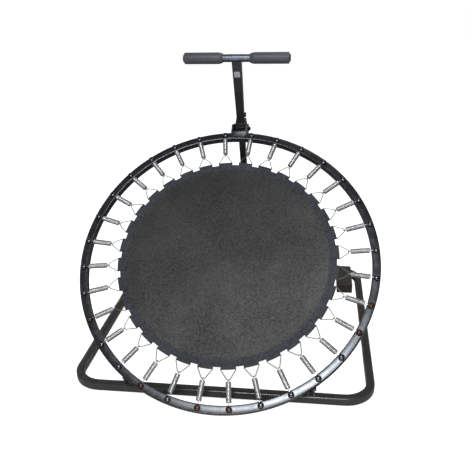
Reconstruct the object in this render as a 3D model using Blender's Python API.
"""Adjustable round rebounder (mini trampoline): a sprung mat in a ring that tilts on a floor frame,
propped by a T-handled mast that slides through a pivoting sleeve at the top of the ring.

Metres, +Z up, +X across, +Y from front to back. The origin is on the floor, under the middle of the
whole. Each moving group hangs from an empty that stands on its joint and is turned with it, so its
pieces are modelled square to that empty.
"""

import math

import bmesh
import bpy
from mathutils import Matrix, Vector

# Driving sizes
TUBE = 0.0254  # square tube of the ring and the floor frame
TUBE_WALL = 0.0015
FIT = 0.0003  # gap between pieces that touch
RUNNING = 0.0004  # gap between pieces that slide or turn

RING_DIAMETER = 0.965
SPRING_COUNT = 32
TILT = math.radians(42.0)
HINGE_IN_FROM_RIM = 0.0977  # hinge axis, inwards from the ring's front rim
HINGE_BELOW_FACE = 0.0462
HINGE_ACROSS = 0.279  # each front hinge, from the middle
SLEEVE_BEYOND_RIM = 0.0564
SLEEVE_BEHIND_FACE = 0.0576

BASE_WIDTH = 0.9404
BASE_CORNER = 0.095  # outer corner radius
FOOT_HEIGHT = 0.008
HINGE_OVER_RAIL = 0.0328  # hinge axis, above the rail's middle
MAST_BEHIND_RAIL = 0.069  # mast hinge, behind the rear rail's middle
GLIDE_RADIUS = 0.006
GLIDE_BEHIND = 0.0065  # round glides stand under the rear half of the front rail
GLIDE_FROM_SIDE = 0.1125  # in from the side rail's middle
FOOT_WIDTH = 0.060
FOOT_BLOCK_HEIGHT = 0.035
FOOT_REACH = 0.142  # forward from the rear rail
FOOT_LIP = 0.0055  # behind the rear rail
FOOT_FROM_SIDE = 0.0128  # between the block and the side rail

PIN_SHANK = 0.003
PIN_HEAD = 0.0098
PIN_HEAD_HEIGHT = 0.004
PIN_GRIP = 0.0028  # between the hooks' middle and the underside of the head
WIRE_LEVEL = 0.003  # height of the hooks and V-rings above the ring's face
WIRE_EASE = 0.001  # between a hook and what it goes round
WEEP_RADIUS = 0.003  # drain hole in the underside of each closed tube
COIL_RADIUS = 0.0085
COIL_WIRE = 0.0023
COIL_LENGTH = 0.063
OUTER_HOOK_REACH = 0.0178  # from the pins' circle in to the coil
INNER_HOOK_REACH = 0.0035  # from the coil in to the V-ring's apex
V_RING_WIRE = 0.0028
V_RING_HEIGHT = 0.0328
V_RING_APEX_HALF = 0.004
V_RING_BASE_HALF = 0.0245

HEM_OVER_ROD = 0.003  # mat beyond the middle of the V-ring's base rod
MAT_NOTCH_DEPTH = 0.0083
MAT_TAB_WIDTH = 0.0455
MAT_THICKNESS = 0.005

MAST_TUBE = 0.0222
SLEEVE_WALL = 0.0085
SLEEVE_UP = 0.034  # sleeve's ends, along the mast from its pivot
SLEEVE_DOWN = 0.027
COLLAR_HEIGHT = 0.016
COLLAR_STEP = 0.0015
SLEEVE_SIDE_GAP = 0.0015
EAR_THICKNESS = 0.005
EYE_RADIUS = 0.0085  # round end of a front hinge's ears and lugs
MAST_EYE_RADIUS = 0.018
LUG_HALF = 0.006
BRACKET_WALL = 0.004
BRACKET_HALF_DEPTH = 0.0115
PLATE_THICKNESS = 0.003
BOLT_RADIUS = 0.004
BOLT_HEAD = 0.006
BOLT_HEAD_REACH = 0.0042
TOP_EAR = 0.0175  # round end of the ears that hold the sleeve
PIVOT_HEAD = 0.0075
PIVOT_HEAD_REACH = 0.009
LOCK_LEVEL = -0.010  # lock pin, along the mast from the sleeve's pivot
LOCK_RADIUS = 0.004
LOCK_BOSS = 0.012
LOCK_KNOB = 0.0125
LOCK_KNOB_LENGTH = 0.018
TIP_SHORT = 0.0005  # a pin's tip stops this far outside the mast's running gap
POST_WALL = 0.0016  # at its foot
POST_FLARE = 0.0048  # how much wider its head is than its foot
MAST_IN_POST = 0.2
HANDLE_ABOVE_PIVOT = 0.278
HANDLE_LENGTH = 0.3608
BAR_DIAMETER = 0.0254
FOAM_WALL = 0.0063
GRIP_INNER_END = 0.045
GRIP_TAPER = 0.013
CLAMP_ABOVE_SLEEVE = 0.025
CLAMP_SCREW = 0.0025
CLAMP_KNOB = 0.009
CLAMP_KNOB_REACH = 0.0075
MAST_BELOW_HINGE = 0.0155
BAR_IN_POST = 0.004
BAR_WALL = 0.0015
PLUG_DEPTH = 0.012
PLUG_CROWN = 0.004

# Worked out from them
RING_RADIUS = RING_DIAMETER / 2
PIN_CIRCLE = RING_RADIUS - TUBE / 2
PITCH = math.tau / SPRING_COUNT
COIL_OUTER_END = PIN_CIRCLE - OUTER_HOOK_REACH
COIL_INNER_END = COIL_OUTER_END - COIL_LENGTH
V_RING_APEX = COIL_INNER_END - INNER_HOOK_REACH
V_RING_BASE = V_RING_APEX - V_RING_HEIGHT
MAT_TAB_RADIUS = V_RING_BASE + HEM_OVER_ROD
MAT_NOTCH_RADIUS = MAT_TAB_RADIUS - MAT_NOTCH_DEPTH
POST_FOOT_WIDTH = MAST_TUBE + 2 * (RUNNING + POST_WALL)
POST_HEAD_WIDTH = POST_FOOT_WIDTH + POST_FLARE
GRIP_DIAMETER = BAR_DIAMETER + 2 * FOAM_WALL
RING_CENTRE = Vector((0, RING_RADIUS - HINGE_IN_FROM_RIM, HINGE_BELOW_FACE))
SLEEVE_PIVOT = Vector((0, RING_CENTRE.y + RING_RADIUS + SLEEVE_BEYOND_RIM,
                       HINGE_BELOW_FACE - SLEEVE_BEHIND_FACE))
# The mast's hinge is as far from the ring's hinge as the sleeve's pivot is, so the mast always
# turns half as far as the ring.
LINK = SLEEVE_PIVOT.length
LINK_ANGLE = TILT + math.atan2(SLEEVE_PIVOT.z, SLEEVE_PIVOT.y)
LEAN = LINK_ANGLE / 2
PIVOT_UP_MAST = 2 * LINK * math.sin(LEAN)
RAIL_LEVEL = FOOT_HEIGHT + TUBE / 2
HINGE_LEVEL = RAIL_LEVEL + HINGE_OVER_RAIL
FRONT_REACH = HINGE_IN_FROM_RIM * math.cos(TILT) + HINGE_BELOW_FACE * math.sin(TILT)
REAR_REACH = LINK + MAST_EYE_RADIUS
FRONT_HINGE = Vector((0, (FRONT_REACH - REAR_REACH) / 2, HINGE_LEVEL))
MAST_HINGE = FRONT_HINGE + Vector((0, LINK, 0))
FRONT_RAIL_Y = FRONT_HINGE.y
REAR_RAIL_Y = MAST_HINGE.y - MAST_BEHIND_RAIL
BASE_HALF = BASE_WIDTH / 2 - TUBE / 2
BEND = BASE_CORNER - TUBE / 2  # radius of the rails' middle line at a corner
CORNER_X = BASE_HALF - BEND
MAST_BORE = MAST_TUBE / 2 + RUNNING  # half-width of what slides on the mast
BOLT_BORE = BOLT_RADIUS + RUNNING
SLEEVE_HALF = MAST_BORE + SLEEVE_WALL
EAR_INNER = SLEEVE_HALF + SLEEVE_SIDE_GAP
EAR_OUTER = EAR_INNER + EAR_THICKNESS
POST_FOOT = PIVOT_UP_MAST + SLEEVE_UP + 0.002
BAR_UP_MAST = PIVOT_UP_MAST + HANDLE_ABOVE_PIVOT
BAR_RADIUS = BAR_DIAMETER / 2
BAR_END = HANDLE_LENGTH / 2 - PLUG_CROWN

ROUND = 16  # sides of a round piece
SMALL_ROUND = 8
HEX = 6
BEND_STEPS = 7
THROUGH = 0.05  # how far a cutter runs past what it cuts
INSET = 0.0001  # keeps a joined plate's sides off its neighbour's faces


def clear_scene():
    for item in list(bpy.data.objects):
        bpy.data.objects.remove(item, do_unlink=True)


def material(name, colour, roughness, metallic):
    made = bpy.data.materials.new(name)
    made.use_nodes = True
    shader = made.node_tree.nodes["Principled BSDF"]
    shader.inputs["Base Color"].default_value = (*colour, 1.0)
    shader.inputs["Roughness"].default_value = roughness
    shader.inputs["Metallic"].default_value = metallic
    return made


def joint_frame(name, place, turn):
    """An empty on a joint, turned about X with the pieces that hang from it."""
    frame = bpy.data.objects.new(name, None)
    bpy.context.scene.collection.objects.link(frame)
    frame.location = place
    frame.rotation_euler = (turn, 0, 0)
    frame.empty_display_size = 0.05
    return frame


def add_object(name, mesh, frame):
    item = bpy.data.objects.new(name, mesh)
    bpy.context.scene.collection.objects.link(item)
    item.parent = frame
    return item


def piece(name, shape, frame, look):
    bmesh.ops.recalc_face_normals(shape, faces=shape.faces)
    mesh = bpy.data.meshes.new(name)
    shape.to_mesh(mesh)
    shape.free()
    mesh.materials.append(look)
    mesh.shade_smooth()
    mesh.set_sharp_from_angle(angle=math.radians(32))
    return add_object(name, mesh, frame)


def boolean(target, shape, operation):
    """Cuts a shape from the target, or joins it on. The shape stays as a hidden helper."""
    bmesh.ops.recalc_face_normals(shape, faces=shape.faces)
    mesh = bpy.data.meshes.new(target.name + "_helper")
    shape.to_mesh(mesh)
    shape.free()
    helper = add_object(target.name + "_helper", mesh, target.parent)
    helper.hide_render = True
    helper.display_type = "WIRE"
    modifier = target.modifiers.new(operation.lower(), "BOOLEAN")
    modifier.operation = operation
    modifier.solver = "EXACT"
    modifier.object = helper


def cut(target, shape):
    boolean(target, shape, "DIFFERENCE")


def join(target, shape):
    boolean(target, shape, "UNION")


def box(x, y, z):
    """A block from three (low, high) pairs."""
    shape = bmesh.new()
    bmesh.ops.create_cube(shape, size=1)
    for vert in shape.verts:
        low_high = ((x[0], x[1]), (y[0], y[1]), (z[0], z[1]))
        vert.co = Vector(low_high[i][0 if vert.co[i] < 0 else 1] for i in range(3))
    return shape


def add_lathe(shape, profile, sides, place):
    """Turns a (radius, height) profile, which starts and ends on the axis, about place's Z."""
    rings = []
    for radius, height in profile:
        if radius == 0:
            rings.append([shape.verts.new(place @ Vector((0, 0, height)))])
            continue
        angles = [math.tau * (i + 0.5) / sides for i in range(sides)]
        points = [Vector((radius * math.cos(a), radius * math.sin(a), height)) for a in angles]
        rings.append([shape.verts.new(place @ point) for point in points])
    for lower, upper in zip(rings, rings[1:]):
        for i in range(sides):
            corners = [lower[i % len(lower)], lower[(i + 1) % len(lower)],
                       upper[(i + 1) % len(upper)], upper[i % len(upper)]]
            shape.faces.new(list(dict.fromkeys(corners)))


def lathe(profile, sides, place=Matrix()):
    shape = bmesh.new()
    add_lathe(shape, profile, sides, place)
    return shape


def rod(radius, start, end, sides=SMALL_ROUND):
    """A cylinder between two points."""
    start, end = Vector(start), Vector(end)
    turn = (end - start).to_track_quat("Z", "Y").to_matrix().to_4x4()
    length = (end - start).length
    profile = [(0, 0), (radius, 0), (radius, length), (0, length)]
    return lathe(profile, sides, Matrix.Translation(start) @ turn)


def closed_tube(loops):
    """A closed tube whose wall is the faces between neighbouring loops of points."""
    shape = bmesh.new()
    rows = [[shape.verts.new(point) for point in loop] for loop in loops]
    count = len(rows[0])
    for row, above in zip(rows, rows[1:] + rows[:1]):
        for i in range(count):
            j = (i + 1) % count
            shape.faces.new((row[i], row[j], above[j], above[i]))
    return shape


def add_wire(shape, points, radius, closed=False, sides=4):
    """A wire along flat points. Its section is square to the path, mitred at each point."""
    count = len(points)
    points = [Vector(p) for p in points]
    upright = all(abs(point.x - points[0].x) < 1e-6 for point in points)
    normal = Vector((1, 0, 0)) if upright else Vector((0, 0, 1))
    angles = [math.tau * (k + 0.5) / sides for k in range(sides)]
    corner = radius / math.cos(math.pi / sides)
    rows = []
    for i, point in enumerate(points):
        before = points[i - 1] if closed or i > 0 else point
        after = points[(i + 1) % count] if closed or i < count - 1 else point
        ahead = (after - point).normalized()
        behind = (point - before).normalized()
        along = (ahead + behind).normalized()
        stretch = 1 / max(along.dot(ahead if ahead.length else behind), 0.4)
        side = along.cross(normal).normalized() * stretch
        ring = [point + (side * math.cos(a) + normal * math.sin(a)) * corner for a in angles]
        rows.append([shape.verts.new(place) for place in ring])
    pairs = list(zip(rows, rows[1:])) + ([(rows[-1], rows[0])] if closed else [])
    for row, following in pairs:
        for k in range(sides):
            m = (k + 1) % sides
            shape.faces.new((row[k], row[m], following[m], following[k]))
    if not closed:
        shape.faces.new(rows[0])
        shape.faces.new(rows[-1])


def extruded(outline, low, high):
    """A prism along Z from a flat outline."""
    shape = bmesh.new()
    floor = [shape.verts.new((x, y, low)) for x, y in outline]
    roof = [shape.verts.new((x, y, high)) for x, y in outline]
    count = len(outline)
    shape.faces.new(floor)
    shape.faces.new(roof)
    for i in range(count):
        j = (i + 1) % count
        shape.faces.new((floor[i], floor[j], roof[j], roof[i]))
    return shape


def circle(radius, height, count, centre=Vector()):
    return [centre + Vector((radius * math.sin(math.tau * i / count),
                             radius * math.cos(math.tau * i / count), height)) for i in range(count)]


# Floor frame


def rail_loop(inset, level):
    """A rounded rectangle, inset from the floor frame's middle line."""
    radius = BEND - inset
    near, far = FRONT_RAIL_Y + BEND, REAR_RAIL_Y - BEND
    corners = ((CORNER_X, far), (-CORNER_X, far), (-CORNER_X, near), (CORNER_X, near))
    points = []
    for quarter, (x, y) in enumerate(corners):
        for i in range(BEND_STEPS):
            angle = math.pi / 2 * (quarter + i / (BEND_STEPS - 1))
            points.append(Vector((x + radius * math.cos(angle), y + radius * math.sin(angle), level)))
    return points


def rail_shape(half):
    low, high = RAIL_LEVEL - half, RAIL_LEVEL + half
    return closed_tube([rail_loop(-half, low), rail_loop(-half, high),
                        rail_loop(half, high), rail_loop(half, low)])


def make_base(looks):
    frame = piece("base_frame", rail_shape(TUBE / 2), None, looks["base_paint"])
    cut(frame, rail_shape(TUBE / 2 - TUBE_WALL))
    cut(frame, rod(WEEP_RADIUS, (0, REAR_RAIL_Y, 0), (0, REAR_RAIL_Y, RAIL_LEVEL), HEX))
    for side, sign in (("L", -1), ("R", 1)):
        x, y = sign * (BASE_HALF - GLIDE_FROM_SIDE), FRONT_RAIL_Y + GLIDE_BEHIND
        piece("front_foot_pad_" + side, rod(GLIDE_RADIUS, (x, y, 0), (x, y, FOOT_HEIGHT - FIT), ROUND),
              None, looks["rubber"])
        make_rear_foot(side, sign, looks)
        make_front_bracket(side, sign, looks)


def make_rear_foot(side, sign, looks):
    """A rubber block that grips the rear rail beside each corner and reaches forward along the floor."""
    outer = BASE_HALF - TUBE / 2 - FOOT_FROM_SIDE
    x = sorted((sign * (outer - FOOT_WIDTH), sign * outer))
    y = (REAR_RAIL_Y - TUBE / 2 - FOOT_REACH, REAR_RAIL_Y + TUBE / 2 + FOOT_LIP)
    foot = piece("rear_foot_block_" + side, box(x, y, (0, FOOT_BLOCK_HEIGHT)), None, looks["rubber"])
    cut(foot, clearance_round_corner(Vector((sign * CORNER_X, REAR_RAIL_Y - BEND, 0)), sign))


def clearance_round_corner(centre, sign):
    """The rail's own path through a rear foot: straight, then round its corner."""
    half = TUBE / 2 + FIT
    shape = bmesh.new()
    stations = [Vector((centre.x - sign * (FOOT_WIDTH + 2 * THROUGH), REAR_RAIL_Y, 0))]
    outwards = [Vector((0, 1, 0))]
    for i in range(BEND_STEPS):
        angle = math.pi / 2 * i / (BEND_STEPS - 1)
        outward = Vector((sign * math.sin(angle), math.cos(angle), 0))
        stations.append(centre + outward * BEND)
        outwards.append(outward)
    rows = []
    for station, outward in zip(stations, outwards):
        rows.append([shape.verts.new(station + outward * a + Vector((0, 0, RAIL_LEVEL + b)))
                     for a, b in ((-half, -half), (half, -half), (half, half), (-half, half))])
    for row, following in zip(rows, rows[1:]):
        for k in range(4):
            m = (k + 1) % 4
            shape.faces.new((row[k], row[m], following[m], following[k]))
    shape.faces.new(rows[0])
    shape.faces.new(rows[-1])
    return shape


def lying(side_view, x_low, x_high):
    """A plate cut to a (y, z) side view, from x_low to x_high."""
    shape = bmesh.new()
    near = [shape.verts.new((x_low, y, z)) for y, z in side_view]
    far = [shape.verts.new((x_high, y, z)) for y, z in side_view]
    count = len(side_view)
    shape.faces.new(near)
    shape.faces.new(far)
    for i in range(count):
        j = (i + 1) % count
        shape.faces.new((near[i], near[j], far[j], far[i]))
    return shape


def tongue(centre, radius, foot_near, foot_far, steps=6):
    """A side view with a round nose about centre and two foot corners, both as (y, z)."""
    spans = [Vector(foot_far) - Vector(centre), Vector(foot_near) - Vector(centre)]
    angles = [math.atan2(span.y, span.x) for span in spans]
    start = angles[0] + math.acos(radius / spans[0].length)
    end = angles[1] - math.acos(radius / spans[1].length)
    while end < start:
        end += math.tau
    nose = [(centre[0] + radius * math.cos(start + (end - start) * i / steps),
             centre[1] + radius * math.sin(start + (end - start) * i / steps)) for i in range(steps + 1)]
    return [tuple(foot_far)] + nose + [tuple(foot_near)]


def make_front_bracket(side, sign, looks):
    """Two ears on a foot plate on the front rail, and the bolt through them."""
    x = sign * HINGE_ACROSS
    top = RAIL_LEVEL + TUBE / 2 + FIT
    inner = LUG_HALF + RUNNING
    outer = inner + BRACKET_WALL
    near, far = FRONT_RAIL_Y - BRACKET_HALF_DEPTH, FRONT_RAIL_Y + BRACKET_HALF_DEPTH
    plate = piece("front_hinge_bracket_" + side,
                  box((x - outer, x + outer), (near, far), (top, top + PLATE_THICKNESS)),
                  None, looks["base_paint"])
    view = tongue(FRONT_HINGE.yz, EYE_RADIUS, (near + 2 * INSET, top + 0.001), (far - 2 * INSET, top + 0.001))
    for low, high in ((x - outer + INSET, x - inner), (x + inner, x + outer - INSET)):
        join(plate, lying(view, low, high))
    cut(plate, rod(BOLT_BORE, (x - THROUGH, *FRONT_HINGE.yz), (x + THROUGH, *FRONT_HINGE.yz)))
    piece("front_hinge_bolt_" + side, bolt(x - outer, x + outer, FRONT_HINGE), None, looks["zinc"])


def bolt(low, high, centre):
    """A bolt along X through whatever spans low to high, with a head and a nut just clear of it."""
    span = high - low
    profile = [(0, -BOLT_HEAD_REACH), (BOLT_HEAD, -BOLT_HEAD_REACH), (BOLT_HEAD, -FIT), (BOLT_RADIUS, -FIT),
               (BOLT_RADIUS, span + FIT), (BOLT_HEAD, span + FIT),
               (BOLT_HEAD, span + BOLT_HEAD_REACH), (0, span + BOLT_HEAD_REACH)]
    place = Matrix.Translation((low, centre.y, centre.z)) @ Matrix.Rotation(math.pi / 2, 4, "Y")
    return lathe(profile, HEX, place)


def make_mast_bracket(looks):
    """Two long ears behind the rear rail that carry the foot of the mast."""
    outer = MAST_BORE + EAR_THICKNESS
    rail_back = REAR_RAIL_Y + TUBE / 2 + FIT
    low, high = RAIL_LEVEL - TUBE / 2 + 2 * INSET, RAIL_LEVEL + TUBE / 2 - 2 * INSET
    bracket = piece("mast_hinge_bracket",
                    box((-outer, outer), (rail_back, rail_back + BRACKET_WALL), (low, high)),
                    None, looks["base_paint"])
    foot_y = rail_back + 0.001
    view = tongue(MAST_HINGE.yz, MAST_EYE_RADIUS, (foot_y, high - 2 * INSET), (foot_y, low + 2 * INSET))
    for left, right in ((-outer + INSET, -MAST_BORE), (MAST_BORE, outer - INSET)):
        join(bracket, lying(view, left, right))
    cut(bracket, rod(BOLT_BORE, (-THROUGH, *MAST_HINGE.yz), (THROUGH, *MAST_HINGE.yz)))
    piece("mast_hinge_bolt", bolt(-outer, outer, MAST_HINGE), None, looks["zinc"])


# Ring, in the ring hinge's frame: Y up the slope, Z out of the mat


def spring_angles():
    """Each spring's angle from the top of the ring. Two springs straddle the middle, top and bottom."""
    return [PITCH * (i + 0.5) for i in range(SPRING_COUNT)]


def spoke(angle):
    """Places a spring: Y runs out from the middle of the ring, Z out of the mat."""
    return Matrix.Translation(RING_CENTRE) @ Matrix.Rotation(-angle, 4, "Z")


def ring_shape(inset):
    count = 2 * SPRING_COUNT
    outer, inner = RING_RADIUS - inset, RING_RADIUS - TUBE + inset
    corners = ((outer, -TUBE + inset), (outer, -inset), (inner, -inset), (inner, -TUBE + inset))
    return closed_tube([circle(radius, height, count, RING_CENTRE) for radius, height in corners])


def make_ring(frame, looks):
    ring = piece("ring_frame", ring_shape(0), frame, looks["ring_paint"])
    cut(ring, ring_shape(TUBE_WALL))
    weep = RING_CENTRE + Vector((0, -PIN_CIRCLE, 0))
    cut(ring, rod(WEEP_RADIUS, weep - Vector((0, 0, 2 * TUBE)), weep - Vector((0, 0, TUBE / 2)), HEX))
    pins = bmesh.new()
    root, under_head = -TUBE_WALL / 2, WIRE_LEVEL + PIN_GRIP
    crown = under_head + PIN_HEAD_HEIGHT
    profile = [(0, root), (PIN_SHANK, root), (PIN_SHANK, under_head), (PIN_HEAD, under_head),
               (PIN_HEAD * 0.62, crown), (0, crown)]
    for angle in spring_angles():
        add_lathe(pins, profile, HEX, spoke(angle) @ Matrix.Translation((0, PIN_CIRCLE, 0)))
    join(ring, pins)
    for side, sign in (("L", -1), ("R", 1)):
        make_lug(side, sign, frame, looks)


def make_lug(side, sign, frame, looks):
    """The ring's half of a front hinge: a tongue under the tube."""
    x = sign * HINGE_ACROSS
    under = RING_CENTRE.z - TUBE - FIT
    tube_y = RING_CENTRE.y - math.sqrt(PIN_CIRCLE ** 2 - HINGE_ACROSS ** 2)
    half_foot = 0.55 * TUBE
    view = tongue((0, 0), EYE_RADIUS, (tube_y + half_foot, under), (tube_y - half_foot, under))
    lug = piece("ring_lug_" + side, lying(view, x - LUG_HALF, x + LUG_HALF), frame, looks["ring_paint"])
    cut(lug, rod(BOLT_BORE, (x - THROUGH, 0, 0), (x + THROUGH, 0, 0)))


def spring_shape_pieces():
    """A spring about Y, from the ring's middle: its coil, and its two hooks as one helper."""
    level = Matrix.Translation((0, 0, WIRE_LEVEL)) @ Matrix.Rotation(-math.pi / 2, 4, "X")
    waist = COIL_RADIUS * 0.6
    coil = lathe([(0, COIL_INNER_END), (waist, COIL_INNER_END), (COIL_RADIUS, COIL_INNER_END + COIL_WIRE),
                  (COIL_RADIUS, COIL_OUTER_END - COIL_WIRE), (waist, COIL_OUTER_END), (0, COIL_OUTER_END)],
                 SMALL_ROUND, level)
    hooks = bmesh.new()
    wire = COIL_WIRE / 2
    loop = PIN_SHANK + wire + WIRE_EASE
    outer_hook = [(0, COIL_OUTER_END - COIL_WIRE, WIRE_LEVEL)]
    outer_hook += [(loop * math.cos(a), PIN_CIRCLE + loop * math.sin(a), WIRE_LEVEL)
                   for a in (math.radians(-25 + 50 * i) for i in range(5))]
    add_wire(hooks, outer_hook, wire)
    eye = V_RING_WIRE / 2 + wire + WIRE_EASE
    inner_hook = [(0, COIL_INNER_END + COIL_WIRE, WIRE_LEVEL)]
    inner_hook += [(0, V_RING_APEX + eye * math.cos(a), WIRE_LEVEL + eye * math.sin(a))
                   for a in (math.radians(50 + 50 * i) for i in range(5))]
    add_wire(hooks, inner_hook, wire)
    return coil, hooks


def make_springs(frame, looks):
    coil, hooks = spring_shape_pieces()
    pattern = piece("spring_pattern", coil, None, looks["zinc"])
    join(pattern, hooks)
    bpy.context.view_layer.update()
    graph = bpy.context.evaluated_depsgraph_get()
    mesh = bpy.data.meshes.new_from_object(pattern.evaluated_get(graph))
    mesh.name = "spring"
    pattern.hide_render = True
    pattern.display_type = "WIRE"
    for number, angle in enumerate(spring_angles(), 1):
        spring = add_object(f"spring_{number:02d}", mesh, frame)
        spring.matrix_local = spoke(angle)


def mat_outline():
    points = []
    half_tab = MAT_TAB_WIDTH / 2
    for angle in spring_angles():
        tab = math.asin(half_tab / MAT_TAB_RADIUS)
        foot = math.asin(half_tab / MAT_NOTCH_RADIUS)
        for radius, turn in ((MAT_NOTCH_RADIUS, -foot), (MAT_TAB_RADIUS, -tab), (MAT_TAB_RADIUS, 0),
                             (MAT_TAB_RADIUS, tab), (MAT_NOTCH_RADIUS, foot)):
            points.append((radius * math.sin(angle + turn), radius * math.cos(angle + turn)))
    return points


def make_mat(frame, looks):
    """The woven mat, with a V-ring captive in the hem of each tab."""
    half = MAT_THICKNESS / 2
    mat = piece("mat", extruded(mat_outline(), WIRE_LEVEL - half, WIRE_LEVEL + half), frame,
                looks["mat_weave"])
    rings = bmesh.new()
    corners = ((-V_RING_BASE_HALF, V_RING_BASE), (-V_RING_APEX_HALF, V_RING_APEX),
               (V_RING_APEX_HALF, V_RING_APEX), (V_RING_BASE_HALF, V_RING_BASE))
    for angle in spring_angles():
        turn = Matrix.Rotation(-angle, 4, "Z")
        path = [turn @ Vector((x, y, WIRE_LEVEL)) for x, y in corners]
        add_wire(rings, path, V_RING_WIRE / 2, closed=True)
    join(mat, rings)


def make_top_bracket(frame, looks):
    """A saddle on the ring's crown whose two ears hold the sleeve."""
    crown = RING_CENTRE.y + RING_RADIUS + FIT
    face = RING_CENTRE.z + FIT
    back = RING_CENTRE.z - TUBE
    top = face + BRACKET_WALL
    bracket = piece("top_bracket", box((-EAR_OUTER, EAR_OUTER), (crown, crown + BRACKET_WALL), (back, top)),
                    frame, looks["ring_paint"])
    lap = 0.8 * TUBE
    join(bracket, box((-EAR_OUTER + INSET, EAR_OUTER - INSET), (crown - lap, crown + BRACKET_WALL - INSET),
                      (face, top - INSET)))
    foot_y, shoulder = crown + 0.001, crown + 0.030
    nose = [(SLEEVE_PIVOT.y + TOP_EAR * math.cos(a), SLEEVE_PIVOT.z + TOP_EAR * math.sin(a))
            for a in (math.radians(-130 + 42.5 * i) for i in range(5))]
    view = [(foot_y, top - 2 * INSET), (foot_y, back + INSET), *nose, (shoulder, top - 2 * INSET)]
    for low, high in ((-EAR_OUTER + 2 * INSET, -EAR_INNER), (EAR_INNER, EAR_OUTER - 2 * INSET)):
        join(bracket, lying(view, low, high))
    cut(bracket, rod(BOLT_BORE, (-THROUGH, *SLEEVE_PIVOT.yz), (THROUGH, *SLEEVE_PIVOT.yz)))
    for side, sign in (("L", -1), ("R", 1)):
        make_pivot_bolt(side, sign, frame, looks)


def make_pivot_bolt(side, sign, frame, looks):
    """A stub bolt through one ear into the sleeve's side, short of the mast."""
    tip, seat, crown = MAST_BORE + TIP_SHORT, EAR_OUTER + FIT, EAR_OUTER + PIVOT_HEAD_REACH
    profile = [(0, tip), (BOLT_RADIUS, tip), (BOLT_RADIUS, seat), (PIVOT_HEAD, seat),
               (PIVOT_HEAD, crown - 0.0025), (0.6 * PIVOT_HEAD, crown), (0, crown)]
    place = Matrix.Translation((0, *SLEEVE_PIVOT.yz)) @ Matrix.Rotation(sign * math.pi / 2, 4, "Y")
    piece("sleeve_pivot_bolt_" + side, lathe(profile, SMALL_ROUND, place), frame, looks["zinc"])


# Sleeve, in its pivot's frame: Z along the mast


def make_sleeve(frame, looks):
    outer, collar, bore = SLEEVE_HALF, SLEEVE_HALF - COLLAR_STEP, MAST_BORE
    shoulder = SLEEVE_UP - COLLAR_HEIGHT
    sleeve = piece("sleeve", box((-outer, outer), (-outer, outer), (-SLEEVE_DOWN, shoulder)), frame,
                   looks["ring_paint"])
    join(sleeve, box((-collar, collar), (-collar, collar), (shoulder - SLEEVE_WALL / 2, SLEEVE_UP)))
    join(sleeve, rod(LOCK_RADIUS + 0.005, (0, outer - 0.002, LOCK_LEVEL), (0, outer + LOCK_BOSS, LOCK_LEVEL),
                     ROUND))
    cut(sleeve, box((-bore, bore), (-bore, bore), (-SLEEVE_DOWN - THROUGH, SLEEVE_UP + THROUGH)))
    cut(sleeve, rod(BOLT_BORE, (-THROUGH, 0, 0), (THROUGH, 0, 0)))
    cut(sleeve, rod(LOCK_RADIUS + RUNNING, (0, bore / 2, LOCK_LEVEL), (0, outer + THROUGH, LOCK_LEVEL)))


def make_lock_pin(frame, looks):
    """The spring-loaded pull pin at the back of the sleeve that holds the ring's angle."""
    tip, seat = MAST_BORE + TIP_SHORT, SLEEVE_HALF + LOCK_BOSS + 0.0015
    end = seat + LOCK_KNOB_LENGTH
    profile = [(0, tip), (LOCK_RADIUS, tip), (LOCK_RADIUS, seat), (0.88 * LOCK_KNOB, seat),
               (LOCK_KNOB, end - 0.006), (0.72 * LOCK_KNOB, end), (0, end)]
    place = Matrix.Translation((0, 0, LOCK_LEVEL)) @ Matrix.Rotation(-math.pi / 2, 4, "X")
    piece("tilt_lock_pin", lathe(profile, ROUND, place), frame, looks["black_plastic"])


# Mast, in its hinge's frame: Z up the mast


def make_mast(frame, looks):
    half = MAST_TUBE / 2
    bottom, top = -MAST_BELOW_HINGE, POST_FOOT + MAST_IN_POST
    mast = piece("mast_tube", box((-half, half), (-half, half), (bottom, top)), frame, looks["base_paint"])
    bore = half - TUBE_WALL
    cut(mast, box((-bore, bore), (-bore, bore), (bottom - THROUGH, top + THROUGH)))
    cut(mast, rod(BOLT_BORE, (-THROUGH, 0, 0), (THROUGH, 0, 0)))


def make_handle(frame, looks):
    foot, head = POST_FOOT, BAR_UP_MAST - BAR_RADIUS + BAR_IN_POST
    shape = box((-1, 1), (-1, 1), (foot, head))
    for vert in shape.verts:
        width = POST_FOOT_WIDTH if vert.co.z < (foot + head) / 2 else POST_HEAD_WIDTH
        vert.co.x *= width / 2
        vert.co.y *= width / 2
    post = piece("handle_post", shape, frame, looks["base_paint"])
    bore = (-MAST_BORE, MAST_BORE)
    cut(post, box(bore, bore, (foot - THROUGH, BAR_UP_MAST - BAR_RADIUS - 0.006)))
    cut(post, rod(BAR_RADIUS + FIT, (-THROUGH, 0, BAR_UP_MAST), (THROUGH, 0, BAR_UP_MAST), ROUND))
    knob_level = PIVOT_UP_MAST + SLEEVE_UP + CLAMP_ABOVE_SLEEVE
    cut(post, rod(CLAMP_SCREW + RUNNING, (0, 0, knob_level), (THROUGH, 0, knob_level)))
    make_bar(frame, looks)
    make_clamp_knob(frame, looks, knob_level)


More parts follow.
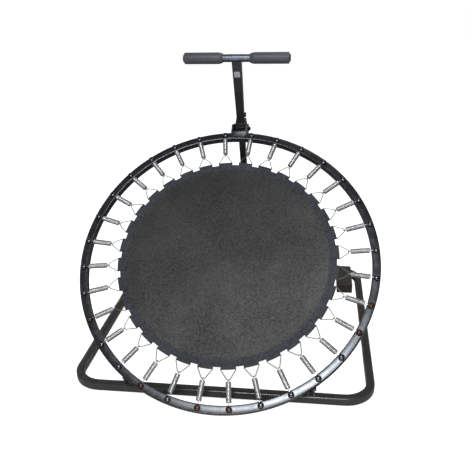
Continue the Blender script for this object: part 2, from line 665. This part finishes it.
def make_bar(frame, looks):
    bar, grip = BAR_RADIUS, GRIP_DIAMETER / 2
    bore, skin = bar - BAR_WALL, bar + FIT
    tube = piece("handle_bar", rod(bar, (-BAR_END, 0, BAR_UP_MAST), (BAR_END, 0, BAR_UP_MAST), ROUND), frame,
                 looks["bar_steel"])
    cut(tube, rod(bore, (-BAR_END - THROUGH, 0, BAR_UP_MAST), (BAR_END + THROUGH, 0, BAR_UP_MAST), ROUND))
    round_over = 0.003
    for side, sign in (("L", -1), ("R", 1)):
        place = Matrix.Translation((0, 0, BAR_UP_MAST)) @ Matrix.Rotation(sign * math.pi / 2, 4, "Y")
        outline = [(0, GRIP_INNER_END), (skin + 0.0022, GRIP_INNER_END), (grip, GRIP_INNER_END + GRIP_TAPER),
                   (grip, BAR_END - round_over), (grip - round_over, BAR_END), (0, BAR_END)]
        foam = piece("foam_grip_" + side, lathe(outline, ROUND, place), frame, looks["foam"])
        cut(foam, lathe([(0, 0), (skin, 0), (skin, BAR_END + THROUGH), (0, BAR_END + THROUGH)], ROUND, place))
        plug, seat, crown = bore - FIT, BAR_END + FIT, BAR_END + PLUG_CROWN
        outline = [(0, BAR_END - PLUG_DEPTH), (plug, BAR_END - PLUG_DEPTH), (plug, seat), (bar, seat),
                   (bar, crown - 0.0015), (bar - round_over, crown), (0, crown)]
        piece("bar_end_cap_" + side, lathe(outline, ROUND, place), frame, looks["black_plastic"])


def make_clamp_knob(frame, looks, level):
    """The thumb knob on the right of the post, whose screw clamps the post on the mast."""
    foot_to_head = (level - POST_FOOT) / (BAR_UP_MAST - POST_FOOT)
    face = (POST_FOOT_WIDTH + (POST_HEAD_WIDTH - POST_FOOT_WIDTH) * foot_to_head) / 2
    tip, seat, end = MAST_BORE, face + 0.0008, face + CLAMP_KNOB_REACH
    profile = [(0, tip), (CLAMP_SCREW, tip), (CLAMP_SCREW, seat), (CLAMP_KNOB, seat),
               (CLAMP_KNOB, end - 0.0015), (0.78 * CLAMP_KNOB, end), (0, end)]
    place = Matrix.Translation((0, 0, level)) @ Matrix.Rotation(math.pi / 2, 4, "Y")
    piece("clamp_knob", lathe(profile, SMALL_ROUND, place), frame, looks["black_plastic"])


def main():
    clear_scene()
    looks = {
        "base_paint": material("base_paint", (0.018, 0.015, 0.013), 0.35, 0.0),
        "ring_paint": material("ring_paint", (0.020, 0.020, 0.022), 0.32, 0.0),
        "rubber": material("rubber", (0.045, 0.038, 0.034), 0.75, 0.0),
        "zinc": material("zinc", (0.72, 0.73, 0.74), 0.25, 1.0),
        "mat_weave": material("mat_weave", (0.045, 0.045, 0.043), 0.8, 0.0),
        "foam": material("foam", (0.065, 0.065, 0.07), 0.85, 0.0),
        "bar_steel": material("bar_steel", (0.30, 0.33, 0.36), 0.35, 0.8),
        "black_plastic": material("black_plastic", (0.02, 0.02, 0.02), 0.45, 0.0),
    }
    ring_hinge = joint_frame("ring_hinge", FRONT_HINGE, TILT)
    mat_frame = joint_frame("mat_frame", RING_CENTRE, 0)
    mat_frame.parent = ring_hinge
    mast_hinge = joint_frame("mast_hinge", MAST_HINGE, LEAN)
    up_mast = Vector((0, -math.sin(LEAN), math.cos(LEAN)))
    sleeve_pivot = joint_frame("sleeve_pivot", MAST_HINGE + up_mast * PIVOT_UP_MAST, LEAN)
    make_base(looks)
    make_mast_bracket(looks)
    make_ring(ring_hinge, looks)
    make_springs(ring_hinge, looks)
    make_mat(mat_frame, looks)
    make_top_bracket(ring_hinge, looks)
    make_sleeve(sleeve_pivot, looks)
    make_lock_pin(sleeve_pivot, looks)
    make_mast(mast_hinge, looks)
    make_handle(mast_hinge, looks)
    bpy.context.view_layer.update()


main()
